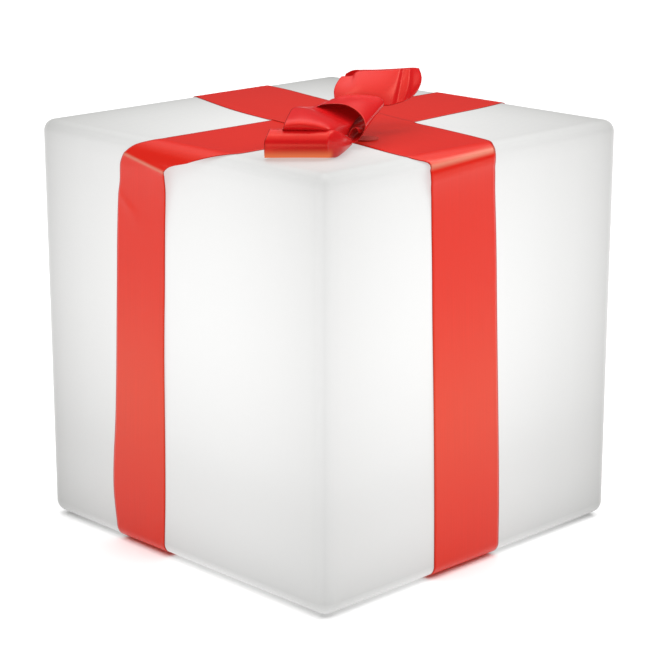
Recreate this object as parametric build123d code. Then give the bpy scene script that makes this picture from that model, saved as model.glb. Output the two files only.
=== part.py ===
from build123d import *
import math
import os

# A lit gift box: a hollow moulded plastic cube with satin ribbon bands, a bow on top,
# and a battery light module let into its underside.
# Millimetres, Z up, origin on the ground under the middle of the cube.
# The corner between the -X face and the -Y face is the one that points at the viewer.

# Cube shell
cube_side = 400.0
cube_top = 408.0
foot_height = 3.0
wall = 3.5
edge_radius = 12.0

# Length by which a cutting shape runs past the surface that it cuts
spare = 5.0

# Recess and port in the underside
recess_diameter = 156.0
recess_depth = 20.0
port_clearance = 2.0
screw_edge = 8.0
screw_count = 6
screw_start = 30.0
boss_diameter = 13.0
boss_height = 11.0
insert_diameter = 6.4
insert_length = 9.0
screw_hole_diameter = 4.5
screw_diameter = 4.0

# Feet
foot_diameter = 26.0
foot_inset = 34.0
foot_edge = 0.8

# Ribbon bands: the satin is one width, a little gathered where it turns down the faces
ribbon_thickness = 0.8
tail_length = 30.0
rim_overlap = 1.0
tape_thickness = 0.3
tape_length = 18.0
step_lap = 1.2

# The left-to-right band, as Y limits (near edge, far edge)
side_band_top = (-75.0, 31.0)
side_band_left_high = (12.0, 82.0)
side_band_left_low = (18.0, 90.0)
side_band_right = (-60.0, 32.0)
left_near_turn_drop = 20.0
left_near_full_drop = 37.0
left_far_first_drop = 8.0
left_far_full_drop = 44.0
left_near_turn_shift = 8.0
left_far_turn_drop = 15.0
left_far_turn_shift = 16.0
left_far_first_shift = 28.0
side_turn_start = 4.0
side_turn_length = 20.0

# The front-to-back band, as X limits (left edge, right edge)
front_band_top_front = (-87.0, 24.0)
front_band_top_back = (-6.0, 101.0)
front_band_front_high = (-66.0, 21.0)
front_band_front_low = (-61.0, 29.0)
front_band_back = (0.0, 92.0)
front_turn_drop = 30.0
back_turn_drop = 24.0
tape_side_margin = 6.0
tape_end_margin = 1.0
band_middle_inset = 55.0

# Bow: its own frame has x to the viewer's right, y away from the viewer
bow_centre = (-98.5, -128.5)
bow_turn = -44.4
bow_gap = 0.3
cloth = 1.0
front_loop_radius = 12.5
front_loop_reach = 43.0
front_loop_ends = (-74.0, -12.0)
front_loop_neck = (-9.0, 3.0)
neck_height = 8.0
neck_half_height = 3.0
loop_waist = 8.0
bow_neck_end = 1.0
upper_loop_radius = 4.6
upper_loop_ends = (-57.0, -12.0)
upper_loop_rise = 4.0
upper_loop_back = 7.0
upper_loop_setback = 3.0
upper_neck_height = 6.0
upper_plan_right_flare = 14.0
upper_plan_left_taper = 24.0
upper_plan_left_waist = (5.0, 30.0)
arch_width = 51.0
arch_height = 36.0
arch_centre_x = -8.0
arch_front = 8.5
arch_length = 48.0
arch_drift = 27.0
curl_radius = 7.5
curl_centre = (4.3, 14.4)
curl_length = 30.0
rear_loop_radius = 15.0
rear_loop_reach = 118.0
rear_loop_start = 58.0
rear_loop_ends = (-14.0, 69.0)
rear_loop_height = 42.0
rear_neck_height = 24.0
rear_neck = (6.0, 40.0)
rear_neck_half_height = 5.0
pad_diameter = 24.0
pad_thickness = 1.2
pad_place = (15.0, 47.0)
bow_space_height = 90.0
edge_margin = 1.0
tie_thickness = 1.2
tie_width = 24.0
tie_clear = 1.4
tie_setback = 2.0
tie_shift = 1.0
core_size = (19.0, 24.0)
core_centre = (-17.0, 17.3)

# Light module
gasket_thickness = 1.5
flange_side_clearance = 4.0
flange_thickness = 4.0
cup_diameter = 108.0
cup_wall = 2.6
cup_height = 46.0
spreader_thickness = 3.0
board_thickness = 1.6
led_board_diameter = 88.0
led_ring_diameters = (34.0, 68.0)
led_ring_counts = (6, 12)
led_side = 5.0
led_height = 1.6
dome_outer_diameter = 106.0
dome_height = 32.0
dome_wall = 2.0
dome_rim = 3.0
spreader_screw_circle = 98.0
spreader_screw_count = 4
spreader_screw_start = 0.0
small_screw = 3.0
small_screw_grip = 10.0
small_screw_core = 0.5
small_screw_play = 0.3
flange_edge_round = 1.2
post_diameter = 8.0
cell_diameter = 18.4
cell_length = 65.2
cell_gap = 1.2
cell_row_y = -15.0
tray_wall = 1.6
tray_floor = 1.4
tray_height = 10.0
tray_end_play = 2.0
tray_side_play = 0.4
strap_play = 0.2
strap_width = 14.0
strap_thickness = 1.2
controls_y = 29.0
control_board_size = (46.0, 24.0)
standoff_diameter = 6.0
standoff_height = 9.0
standoff_inset = 3.2
button_diameter = 13.0
button_x = -12.0
button_clearance = 0.25
button_proud = 2.0
button_travel = 1.2
button_collar = 1.4
button_collar_height = 1.0
plunger_diameter = 3.4
switch_side = 6.2
switch_height = 3.4
plunger_entry = 0.8
usb_shell = (9.0, 3.3)
usb_mouth = (8.4, 2.6)
usb_height = 7.0
usb_x = 12.0
flap_size = (18.0, 13.0)
flap_thickness = 1.8
flap_gap = 0.3
flap_plug = (7.6, 1.9, 1.1)
hinge_pin_diameter = 1.5
hinge_clearance = 0.05
knuckle_diameter = 4.0
knuckle_length = 9.0
ear_length = 3.0
lens_diameter = 4.0
lens_x = 0.5
lens_offset = 8.0
lens_proud = 2.0
vent_diameter = 12.0
vent_x = -34.0
vent_offset = 12.0
vent_rim = 1.5
vent_cap = 1.6
lead_diameter = 1.6
lead_gap = 2.6
lead_hole = 7.0
receiver_size = (12.0, 8.0, 2.4)
receiver_place = (14.0, 4.0)
led_lead_rise = 22.0
led_lead_bend = 5.0
lead_board_offset = 4.0
battery_lead_out = 7.0
battery_lead_over = 12.0
battery_lead_rise = 9.0
battery_lead_bend = 2.4
battery_lead_end = 6.0
cell_pad_offset = 2.0
running_gap = 0.3

# Heights that follow from the sizes above
base = foot_height
ceiling = base + recess_depth
flange_top = ceiling - gasket_thickness
flange_bottom = flange_top - flange_thickness
cup_top = flange_top + cup_height
spreader_top = cup_top + spreader_thickness
led_board_top = spreader_top + board_thickness
half = cube_side / 2
flange_diameter = recess_diameter - 2 * flange_side_clearance
screw_circle = flange_diameter - 2 * screw_edge
port_diameter = cup_diameter + 2 * port_clearance


def ring_points(diameter, count, start=0.0):
    """Evenly spaced (x, y) places on a circle."""
    step = 2 * math.pi / count
    angles = [math.radians(start) + i * step for i in range(count)]
    return [(diameter / 2 * math.cos(a), diameter / 2 * math.sin(a)) for a in angles]


def rod(diameter, low, high, x=0.0, y=0.0):
    """An upright round bar between two heights."""
    bar = Cylinder(diameter / 2, high - low, align=(Align.CENTER, Align.CENTER, Align.MIN))
    return Pos(x, y, low) * bar


def tube(outer, inner, low, high, x=0.0, y=0.0):
    """An upright round tube between two heights."""
    return rod(outer, low, high, x, y) - rod(inner, low - 1, high + 1, x, y)


def block(x_limits, y_limits, z_limits):
    """A plain box given by its limits."""
    size = [b - a for a, b in (x_limits, y_limits, z_limits)]
    middle = [(a + b) / 2 for a, b in (x_limits, y_limits, z_limits)]
    return Pos(*middle) * Box(*size)


def prism(points, direction, length):
    """A flat outline of 3-D points pushed along a direction."""
    outline = make_face(Polyline(*points, close=True))
    return extrude(outline, length, dir=direction)


def rounded_block(grow):
    """The cube's outside, grown outwards everywhere by one distance."""
    height = cube_top - base + 2 * grow
    side = cube_side + 2 * grow
    body = Box(side, side, height, align=(Align.CENTER, Align.CENTER, Align.MIN))
    body = Pos(0, 0, base - grow) * body
    return fillet(body.edges(), edge_radius + grow)


def skin(low, high):
    """A layer that lies on the cube, between two distances from its surface."""
    return rounded_block(high) - rounded_block(low)


def cube_shell():
    """The moulded cube: one wall all round, a recess below and six screw bosses above it."""
    shell = rounded_block(0) - rounded_block(-wall)
    pocket_outer = recess_diameter + 2 * wall
    shell += rod(pocket_outer, base + wall / 2, ceiling + wall)
    shell -= rod(recess_diameter, base - 1, ceiling)
    for x, y in ring_points(screw_circle, screw_count, screw_start):
        shell += rod(boss_diameter, ceiling, ceiling + boss_height, x, y)
    shell -= rod(port_diameter, ceiling - 1, ceiling + boss_height + 1)
    for x, y in ring_points(screw_circle, screw_count, screw_start):
        shell -= rod(insert_diameter, ceiling - 1, ceiling + insert_length, x, y)
    return shell


def left_face_outline(x):
    """The left-to-right band's outline on the -X side, seen along X."""
    near_high, far_high = side_band_left_high
    near_low, far_low = side_band_left_low
    near_top, far_top = side_band_top
    below = base - spare
    over = cube_top + spare
    return [
        (x, near_top, over),
        (x, near_top, cube_top - rim_overlap),
        (x, near_high - left_near_turn_shift, cube_top - left_near_turn_drop),
        (x, near_high, cube_top - left_near_full_drop),
        (x, near_low, below),
        (x, far_low, below),
        (x, far_high, cube_top - left_far_full_drop),
        (x, far_high - left_far_turn_shift, cube_top - left_far_turn_drop),
        (x, far_high - left_far_first_shift, cube_top - left_far_first_drop),
        (x, far_top, cube_top - rim_overlap),
        (x, far_top, over),
    ]


def side_band_space():
    """The space that the left-to-right band may fill, before it is cut to the skin."""
    reach = half + spare
    left = prism(left_face_outline(-reach), (1, 0, 0), reach)
    near_top, far_top = side_band_top
    near_right, far_right = side_band_right
    turn = cube_top - edge_radius
    right_outline = [
        (0, near_top, cube_top + spare),
        (0, near_top, turn + side_turn_start),
        (0, near_right, turn - side_turn_length),
        (0, near_right, base - spare),
        (0, far_right, base - spare),
        (0, far_right, turn - side_turn_length),
        (0, far_top, turn + side_turn_start),
        (0, far_top, cube_top + spare),
    ]
    right = prism(right_outline, (1, 0, 0), reach)
    inside = block((-half + tail_length, half - tail_length), (-half, half), (base - 2 * spare, base + wall))
    return left + right - inside


def front_band_space():
    """The space that the front-to-back band may fill, before it is cut to the skin."""
    reach = half + spare
    left_front, right_front = front_band_top_front
    left_back, right_back = front_band_top_back
    slope_left = (left_back - left_front) / (2 * half)
    slope_right = (right_back - right_front) / (2 * half)
    level = cube_top - edge_radius
    top_outline = [
        (left_front - slope_left * spare, -reach, level),
        (right_front - slope_right * spare, -reach, level),
        (right_back + slope_right * spare, reach, level),
        (left_back + slope_left * spare, reach, level),
    ]
    top = prism(top_outline, (0, 0, 1), edge_radius + spare)
    left_high, right_high = front_band_front_high
    left_low, right_low = front_band_front_low
    front_outline = [
        (left_front, -reach, level),
        (left_high, -reach, cube_top - front_turn_drop),
        (left_low, -reach, base - spare),
        (right_low, -reach, base - spare),
        (right_high, -reach, cube_top - front_turn_drop),
        (right_front, -reach, level),
    ]
    front = prism(front_outline, (0, 1, 0), reach)
    back_left, back_right = front_band_back
    back_outline = [
        (left_back, 0, level),
        (back_left, 0, level - back_turn_drop),
        (back_left, 0, base - spare),
        (back_right, 0, base - spare),
        (back_right, 0, level - back_turn_drop),
        (right_back, 0, level),
    ]
    back = prism(back_outline, (0, 1, 0), reach)
    inside = block((-half, half), (-half + tail_length, half - tail_length), (base - 2 * spare, base + wall))
    return top + front + back - inside


def side_tape_places():
    """Limits of the two tapes under the left-to-right band's tails."""
    low, high = side_band_left_low
    low_right, high_right = side_band_right
    end = half - tail_length
    return [
        ((-end - tape_length, -end - tape_end_margin), (low + tape_side_margin, high - tape_side_margin)),
        (
            (end + tape_end_margin, end + tape_length),
            (low_right + tape_side_margin, high_right - tape_side_margin),
        ),
    ]


def front_tape_places():
    """Limits of the two tapes under the front-to-back band's tails."""
    low, high = front_band_front_low
    low_back, high_back = front_band_back
    end = half - tail_length
    return [
        ((low + tape_side_margin, high - tape_side_margin), (-end - tape_length, -end - tape_end_margin)),
        (
            (low_back + tape_side_margin, high_back - tape_side_margin),
            (end + tape_end_margin, end + tape_length),
        ),
    ]


def tape(limits):
    """One double-sided tape between the cube's underside and a ribbon tail."""
    return block(limits[0], limits[1], (base - tape_thickness, base))


def ribbon_tapes():
    """The four tapes that hold the ribbon tails."""
    return [tape(limits) for limits in side_tape_places() + front_tape_places()]


def side_band():
    """The band that runs from the left face over the top to the right."""
    band = skin(0, ribbon_thickness) & side_band_space()
    for limits in side_tape_places():
        band -= tape(limits)
    return band


def front_band():
    """The band that runs from the front face over the top to the back, over the other band."""
    near, far = side_band_top
    space = front_band_space()
    over_top = (cube_top - spare, cube_top + spare)
    middle = half - band_middle_inset
    under_band = block((-middle, middle), (near, far), over_top)
    step = block((-middle, middle), (near - step_lap, far + step_lap), over_top)
    band = skin(0, ribbon_thickness) & space
    band -= under_band
    band += skin(ribbon_thickness, 2 * ribbon_thickness) & space & step
    for limits in front_tape_places():
        band -= tape(limits)
    return band


def on_bow(piece):
    """Moves a piece from the bow's own frame to its place on the cube."""
    return Pos(bow_centre[0], bow_centre[1], cube_top) * Rot(0, 0, bow_turn) * piece


def teardrop(reach, radius, neck_y, neck_low, neck_high, height):
    """A loop's outline in the y-z plane: a round end at reach and height, drawn in to a neck.

    The two straight layers leave the round end as tangents towards the neck's two corners.
    """
    side = 1 if reach > neck_y else -1
    centre = (reach, height)
    points = []
    for corner in ((neck_y, neck_high), (neck_y, neck_low)):
        dy, dz = corner[0] - centre[0], corner[1] - centre[1]
        far = math.hypot(dy, dz)
        turn = math.acos(radius / far)
        toward = math.atan2(dz, dy)
        sign = -side if corner[1] == neck_high else side
        angle = toward + sign * turn
        points.append((centre[0] + radius * math.cos(angle), centre[1] + radius * math.sin(angle)))
    tip = (centre[0] + side * radius, centre[1])
    high, low = points
    outline = [
        Line((0, neck_y, neck_low), (0, neck_y, neck_high)),
        Line((0, neck_y, neck_high), (0, high[0], high[1])),
        ThreePointArc((0, high[0], high[1]), (0, tip[0], tip[1]), (0, low[0], low[1])),
        Line((0, low[0], low[1]), (0, neck_y, neck_low)),
    ]
    return make_face(Curve() + outline)


def ribbon_loop(outer, inner, plan, left, right):
    """A loop of cloth: the teardrop pushed along x, hollow, and trimmed to a plan outline."""
    width = right - left
    solid = Pos(left, 0, 0) * extrude(outer, width, dir=(1, 0, 0))
    hollow = Pos(left, 0, 0) * extrude(inner, width, dir=(1, 0, 0))
    trim = prism(plan, (0, 0, 1), bow_space_height)
    return (solid - hollow) & trim


def bow_front_loop():
    """The big rolled loop that lies on the cube in front of the knot."""
    left, right = front_loop_ends
    neck_left, neck_right = front_loop_neck
    height = bow_gap + front_loop_radius
    outer = teardrop(
        -front_loop_reach, front_loop_radius, bow_neck_end,
        neck_height - neck_half_height, neck_height + neck_half_height, height,
    )
    inner = teardrop(
        -front_loop_reach, front_loop_radius - cloth, bow_neck_end - cloth,
        neck_height - neck_half_height + cloth, neck_height + neck_half_height - cloth, height,
    )
    nose = -front_loop_reach - front_loop_radius - edge_margin
    waist = -front_loop_reach + loop_waist
    plan = [
        (left, nose, -1),
        (right, nose, -1),
        (right, waist, -1),
        (neck_right, bow_neck_end + edge_margin, -1),
        (neck_left, bow_neck_end + edge_margin, -1),
        (left, waist, -1),
    ]
    return on_bow(ribbon_loop(outer, inner, plan, left, neck_right))


def bow_upper_loop():
    """The flatter loop that rests on the front roll and runs back into the centre band."""
    left, right = upper_loop_ends
    reach = -front_loop_reach + upper_loop_setback
    low = bow_gap + 2 * front_loop_radius + bow_gap
    height = low + upper_loop_radius
    neck_high = height + upper_loop_radius + upper_loop_rise
    neck_low = neck_high - upper_neck_height
    outer = teardrop(reach, upper_loop_radius, upper_loop_back, neck_low, neck_high, height)
    inner = teardrop(
        reach, upper_loop_radius - cloth, upper_loop_back - cloth, neck_low + cloth, neck_high - cloth, height
    )
    nose = reach - upper_loop_radius - edge_margin
    flare = right + upper_plan_right_flare
    waist_in, waist_back = upper_plan_left_waist
    back = upper_loop_back + edge_margin
    plan = [
        (left, nose, -1),
        (right, nose, -1),
        (flare, back, -1),
        (left + upper_plan_left_taper, back, -1),
        (left + waist_in, reach + waist_back, -1),
    ]
    return on_bow(ribbon_loop(outer, inner, plan, left, flare))


def bow_centre_band():
    """The wrap around the middle of the bow, an oval tube that drifts to the right as it goes back."""
    rise = bow_gap + ribbon_thickness + pad_thickness + arch_height / 2
    front = Plane(origin=(arch_centre_x, arch_front, rise), x_dir=(1, 0, 0), z_dir=(0, -1, 0))
    outline = Ellipse(arch_width / 2, arch_height / 2)
    outline -= Ellipse(arch_width / 2 - cloth, arch_height / 2 - cloth)
    way = (arch_drift, arch_length, 0)
    band = extrude(front * outline, math.hypot(*way), dir=way)
    return on_bow(band)


def bow_knot():
    """The ribbon's end, curled up inside the centre band."""
    x, height = curl_centre
    front = Plane(origin=(x, arch_front + edge_margin, height), x_dir=(1, 0, 0), z_dir=(0, -1, 0))
    outline = Circle(curl_radius) - Circle(curl_radius - cloth)
    way = (arch_drift, arch_length, 0)
    return on_bow(extrude(front * outline, curl_length, dir=way))


def bow_rear_loop():
    """The loop that stands up behind the centre band."""
    left, right = rear_loop_ends
    neck_left, neck_right = rear_neck
    neck_low = rear_neck_height - rear_neck_half_height
    neck_high = rear_neck_height + rear_neck_half_height
    outer = teardrop(
        rear_loop_reach, rear_loop_radius, rear_loop_start, neck_low, neck_high, rear_loop_height
    )
    inner = teardrop(
        rear_loop_reach, rear_loop_radius - cloth, rear_loop_start + cloth, neck_low + cloth, neck_high - cloth,
        rear_loop_height,
    )
    tip = rear_loop_reach + rear_loop_radius + edge_margin
    waist = rear_loop_reach - loop_waist
    plan = [
        (neck_left, rear_loop_start - edge_margin, -1),
        (neck_right, rear_loop_start - edge_margin, -1),
        (right, waist, -1),
        (right, tip, -1),
        (left, tip, -1),
        (left, waist, -1),
    ]
    return on_bow(ribbon_loop(outer, inner, plan, left, right))


def bow_core():
    """The gathered middle of the ribbon, inside the centre band, from the front neck to the rear one."""
    x, height = core_centre
    front_end = bow_neck_end + bow_gap
    rear_end = rear_loop_start - bow_gap
    start_x = x + (front_end - arch_front) * arch_drift / arch_length
    front = Plane(origin=(start_x, front_end, height), x_dir=(1, 0, 0), z_dir=(0, -1, 0))
    run = rear_end - front_end
    way = (run * arch_drift / arch_length, run, 0)
    outline = Ellipse(core_size[0] / 2, core_size[1] / 2)
    return on_bow(extrude(front * outline, math.hypot(*way), dir=way))


def bow_tie():
    """The flat wire ring round the front loop's neck."""
    middle = sum(front_loop_neck) / 2 - tie_shift
    rear = bow_neck_end - tie_setback
    deep = (rear - tie_thickness, rear)
    across = (middle - tie_width / 2, middle + tie_width / 2)
    reach = neck_half_height + tie_clear
    tall = (neck_height - reach, neck_height + reach)
    hole = block(across, (deep[0] - 1, deep[1] + 1), tall)
    across = (across[0] - tie_thickness, across[1] + tie_thickness)
    tall = (tall[0] - tie_thickness, tall[1] + tie_thickness)
    return on_bow(block(across, deep, tall) - hole)


def bow_pad():
    """The foam pad that sticks the bow to the ribbon below it."""
    x, y = pad_place
    return on_bow(rod(pad_diameter, ribbon_thickness, ribbon_thickness + pad_thickness, x, y))


def foot(x, y):
    """One stick-on rubber foot, its lower edge rounded."""
    pad = rod(foot_diameter, 0, foot_height, x, y)
    return fillet(pad.edges().group_by(Axis.Z)[0], foot_edge)


def module_gasket():
    """The flat seal between the flange and the recess."""
    seal = tube(flange_diameter, port_diameter, flange_top, ceiling)
    for x, y in ring_points(screw_circle, screw_count, screw_start):
        seal -= rod(screw_hole_diameter, flange_top - 1, ceiling + 1, x, y)
    return seal


def module_housing():
    """The cup that carries the light: flange, cup wall, posts and the holes for its controls."""
    cup_inner = cup_diameter - 2 * cup_wall
    body = rod(flange_diameter, flange_bottom, flange_top)
    body = fillet(body.edges().group_by(Axis.Z)[0], flange_edge_round)
    body += tube(cup_diameter, cup_inner, flange_top, cup_top)
    for x, y in ring_points(spreader_screw_circle, spreader_screw_count, spreader_screw_start):
        post = rod(post_diameter, flange_top, cup_top, x, y) & rod(cup_diameter - 1, 0, cup_top + 1)
        body += post
        body -= rod(small_screw - small_screw_core, cup_top - small_screw_grip - 2, cup_top + 1, x, y)
    for x, y in ring_points(screw_circle, screw_count, screw_start):
        body -= rod(screw_hole_diameter, flange_bottom - 1, flange_top + 1, x, y)
    for x in (-1, 1):
        for y in (-1, 1):
            width, depth = control_board_size
            place = (x * (width / 2 - standoff_inset), controls_y + y * (depth / 2 - standoff_inset))
            body += rod(standoff_diameter, flange_top, flange_top + standoff_height, *place)
    hole = button_diameter + 2 * button_clearance
    body -= rod(hole, flange_bottom - 1, flange_top + 1, button_x, controls_y)
    body -= rod(lens_diameter, flange_bottom - 1, flange_top + 1, lens_x, controls_y + lens_offset)
    vent_hole = vent_diameter - 2 * vent_rim
    body -= rod(vent_hole, flange_bottom - 1, flange_top + 1, vent_x, controls_y - vent_offset)
    body -= usb_block(usb_shell, flange_bottom - 1, flange_top + 1)
    body += hinge_ears()
    return body


def usb_block(size, low, high):
    """A box of the charging socket's width and depth between two heights."""
    width, depth = size
    across = (usb_x - width / 2, usb_x + width / 2)
    along = (controls_y - depth / 2, controls_y + depth / 2)
    return block(across, along, (low, high))


def hinge_line():
    """The flap's hinge pin: its y place and height."""
    y = controls_y - flap_size[1] / 2 - knuckle_diameter / 2
    z = flange_bottom - flap_gap - knuckle_diameter / 2
    return y, z


def pin_bar(diameter, left, right):
    """A round bar along the hinge line."""
    y, z = hinge_line()
    bar = Cylinder(diameter / 2, right - left, align=(Align.CENTER, Align.CENTER, Align.MIN))
    return Pos(left, y, z) * Rot(0, 90, 0) * bar


def hinge_ears():
    """Two ears under the flange that hold the flap's pin."""
    y, z = hinge_line()
    ears = None
    for side in (-1, 1):
        inner = usb_x + side * (knuckle_length / 2 + running_gap)
        outer = inner + side * ear_length
        left, right = min(inner, outer), max(inner, outer)
        ear = pin_bar(knuckle_diameter, left, right)
        radius = knuckle_diameter / 2
        ear += block((left, right), (y - radius, y + radius), (z, flange_bottom))
        ear -= pin_bar(hinge_pin_diameter, left - 1, right + 1)
        ears = ear if ears is None else ears + ear
    return ears


def flap_pin():
    """The steel pin through the ears and the flap's knuckle."""
    reach = knuckle_length / 2 + running_gap + ear_length
    return pin_bar(hinge_pin_diameter, usb_x - reach, usb_x + reach)


def charge_flap():
    """The soft cover of the charging socket, with a knuckle and a short plug."""
    width, depth = flap_size
    top = flange_bottom - flap_gap
    y, z = hinge_line()
    lid = block(
        (usb_x - width / 2, usb_x + width / 2),
        (controls_y - depth / 2 + running_gap, controls_y + depth / 2),
        (top - flap_thickness, top),
    )
    lid = fillet(lid.edges().filter_by(Axis.Z).group_by(Axis.Y)[-1], 4)
    neck_left = usb_x - knuckle_length / 2
    neck_right = usb_x + knuckle_length / 2
    lid += block((neck_left, neck_right), (y, controls_y - depth / 2 + 1), (top - flap_thickness, top))
    lid += pin_bar(knuckle_diameter, neck_left, neck_right)
    plug_width, plug_depth, plug_height = flap_plug
    lid += block(
        (usb_x - plug_width / 2, usb_x + plug_width / 2),
        (controls_y - plug_depth / 2, controls_y + plug_depth / 2),
        (top - 0.1, top + plug_height),
    )
    return lid - pin_bar(hinge_pin_diameter + 2 * hinge_clearance, neck_left - 1, neck_right + 1)


def power_button():
    """The push button, kept in by a collar above the flange plate."""
    low = flange_bottom - button_proud
    cap = rod(button_diameter, low, flange_top + running_gap + button_collar_height, button_x, controls_y)
    cap = fillet(cap.edges().group_by(Axis.Z)[0], 1.0)
    collar_low = flange_top + running_gap
    collar = button_diameter + 2 * button_collar
    cap += rod(collar, collar_low, collar_low + button_collar_height, button_x, controls_y)
    return cap


def board_bottom():
    """Underside of the control board, on its standoffs."""
    return flange_top + standoff_height


def switch_low():
    """Lower face of the tact switch that hangs under the control board."""
    return board_bottom() - switch_height


def switch_plunger():
    """The stem on the button that runs up into the tact switch."""
    low = flange_top + running_gap + button_collar_height
    return rod(plunger_diameter, low, switch_low() + plunger_entry, button_x, controls_y)


def tact_switch():
    """The small switch under the control board, with the hole its stem runs in."""
    reach = switch_side / 2
    across = (button_x - reach, button_x + reach)
    body = block(across, (controls_y - reach, controls_y + reach), (switch_low(), board_bottom()))
    depth = plunger_entry + button_travel + running_gap
    return body - rod(plunger_diameter + 0.4, switch_low() - 1, switch_low() + depth, button_x, controls_y)


def control_board():
    """The driver and charging board."""
    width, depth = control_board_size
    low = board_bottom()
    along = (controls_y - depth / 2, controls_y + depth / 2)
    board = block((-width / 2, width / 2), along, (low, low + board_thickness))
    return fillet(board.edges().filter_by(Axis.Z), 2)


def charge_socket():
    """The charging socket: a flat metal shell between the flange plate and the board."""
    low = flange_bottom + flap_plug[2] - flap_gap + 0.3
    shell = usb_block((usb_shell[0] - 0.2, usb_shell[1] - 0.2), low, board_bottom())
    return shell - usb_block(usb_mouth, low - 1, low + usb_height)


def indicator_lens():
    """The clear light pipe of the charge indicator."""
    return rod(lens_diameter, flange_bottom, flange_top + lens_proud, lens_x, controls_y + lens_offset)


def vent_plug():
    """The breather plug that lets the sealed cube equalise its pressure."""
    y = controls_y - vent_offset
    cap = rod(vent_diameter, flange_bottom - vent_cap, flange_bottom, vent_x, y)
    cap = fillet(cap.edges().group_by(Axis.Z)[0], 0.6)
    return cap + rod(vent_diameter - 2 * vent_rim, flange_bottom, flange_top + 1, vent_x, y)


def flange_screws():
    """Six pan head screws from below, through the flange and the gasket into the inserts."""
    screws = []
    for x, y in ring_points(screw_circle, screw_count, screw_start):
        head = rod(2 * screw_diameter, flange_bottom - 2.4, flange_bottom, x, y)
        head = fillet(head.edges().group_by(Axis.Z)[0], 1.0)
        head -= rod(1.6, flange_bottom - 3, flange_bottom - 1.2, x, y)
        shank = rod(screw_diameter, flange_bottom, ceiling + insert_length - 1, x, y)
        screws.append(head + shank)
    return screws


def thread_inserts():
    """Brass inserts moulded into the shell's bosses."""
    return [
        tube(insert_diameter, screw_diameter, ceiling, ceiling + insert_length, x, y)
        for x, y in ring_points(screw_circle, screw_count, screw_start)
    ]


def heat_spreader():
    """The aluminium disc that closes the cup and carries the light."""
    disc = rod(cup_diameter, cup_top, spreader_top)
    for x, y in ring_points(spreader_screw_circle, spreader_screw_count, spreader_screw_start):
        disc -= rod(small_screw + small_screw_play, cup_top - 1, spreader_top + 1, x, y)
    return disc - rod(lead_hole, cup_top - 1, spreader_top + 1)


def spreader_screws():
    """Four screws through the dome's rim and the disc into the cup's posts."""
    rim_top = spreader_top + dome_rim
    screws = []
    for x, y in ring_points(spreader_screw_circle, spreader_screw_count, spreader_screw_start):
        head = rod(2 * small_screw - 0.4, rim_top, rim_top + 1.8, x, y)
        head = fillet(head.edges().group_by(Axis.Z)[-1], 0.8)
        screws.append(head + rod(small_screw - small_screw_core, cup_top - small_screw_grip, rim_top, x, y))
    return screws


def led_board():
    """The white round board under the light sources."""
    board = rod(led_board_diameter, spreader_top, led_board_top)
    return board - rod(lead_hole, spreader_top - 1, led_board_top + 1)


def leds():
    """Two rings of square light sources."""
    sources = []
    for diameter, count in zip(led_ring_diameters, led_ring_counts):
        for x, y in ring_points(diameter, count):
            chip = Box(led_side, led_side, led_height, align=(Align.CENTER, Align.CENTER, Align.MIN))
            sources.append(Pos(x, y, led_board_top) * chip)
    return sources


def diffuser_dome():
    """The frosted dome over the light sources, with a flat rim under its screws."""
    rim = tube(dome_outer_diameter, led_board_diameter + 1, spreader_top, spreader_top + dome_rim)
    radius = led_board_diameter / 2 + dome_wall
    rise = dome_height - dome_rim
    sphere_radius = (radius ** 2 + rise ** 2) / (2 * rise)
    centre = spreader_top + dome_height - sphere_radius
    heights = (spreader_top + dome_rim, spreader_top + dome_height + 1)
    above = block((-radius, radius), (-radius, radius), heights)
    outside = Pos(0, 0, centre) * Sphere(sphere_radius)
    inside = Pos(0, 0, centre) * Sphere(sphere_radius - dome_wall)
    dome = (outside & above) - inside + rim
    for x, y in ring_points(spreader_screw_circle, spreader_screw_count, spreader_screw_start):
        dome -= rod(2 * small_screw, spreader_top + dome_rim, spreader_top + dome_height, x, y)
        dome -= rod(small_screw + small_screw_play, spreader_top - 1, spreader_top + dome_rim + 1, x, y)
    return dome


def cell_rows():
    """The two cells' y places."""
    offset = (cell_diameter + cell_gap) / 2
    return (cell_row_y - offset, cell_row_y + offset)


def cell_height():
    """Height of the cells' axes, on the tray's floor."""
    return flange_top + tray_floor + cell_diameter / 2


def battery_cells():
    """Two round lithium cells with their raised ends."""
    cells = []
    for y in cell_rows():
        bar = Cylinder(cell_diameter / 2, cell_length, align=(Align.CENTER, Align.CENTER, Align.CENTER))
        bar = fillet(bar.edges(), 0.8)
        tip = Pos(0, 0, cell_length / 2) * Cylinder(3, 1.6)
        cells.append(Pos(0, y, cell_height()) * Rot(0, 90, 0) * (bar + tip))
    return cells


def battery_tray():
    """The open tray that holds the cells."""
    long = cell_length / 2 + tray_end_play
    deep = cell_diameter + cell_gap / 2 + tray_side_play
    outer = block(
        (-long - tray_wall, long + tray_wall),
        (cell_row_y - deep - tray_wall, cell_row_y + deep + tray_wall),
        (flange_top, flange_top + tray_height),
    )
    heights = (flange_top + tray_floor, flange_top + tray_height + 1)
    hollow = block((-long, long), (cell_row_y - deep, cell_row_y + deep), heights)
    inside_cup = rod(cup_diameter - 2 * cup_wall - 1, flange_top, cup_top)
    return (outer - hollow) & inside_cup


def battery_strap():
    """The flat strap over both cells, screwed down to the tray's ends by its feet."""
    top = flange_top + tray_floor + cell_diameter + running_gap
    deep = cell_diameter + cell_gap / 2 + tray_side_play + tray_wall + strap_play
    strap_x = (-strap_width / 2, strap_width / 2)
    reach = deep + strap_thickness
    bar = block(strap_x, (cell_row_y - reach, cell_row_y + reach), (top, top + strap_thickness))
    for side in (-1, 1):
        inner = cell_row_y + side * deep
        outer = inner + side * strap_thickness
        bar += block(strap_x, (min(inner, outer), max(inner, outer)), (flange_top, top + 0.1))
    return bar


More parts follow.
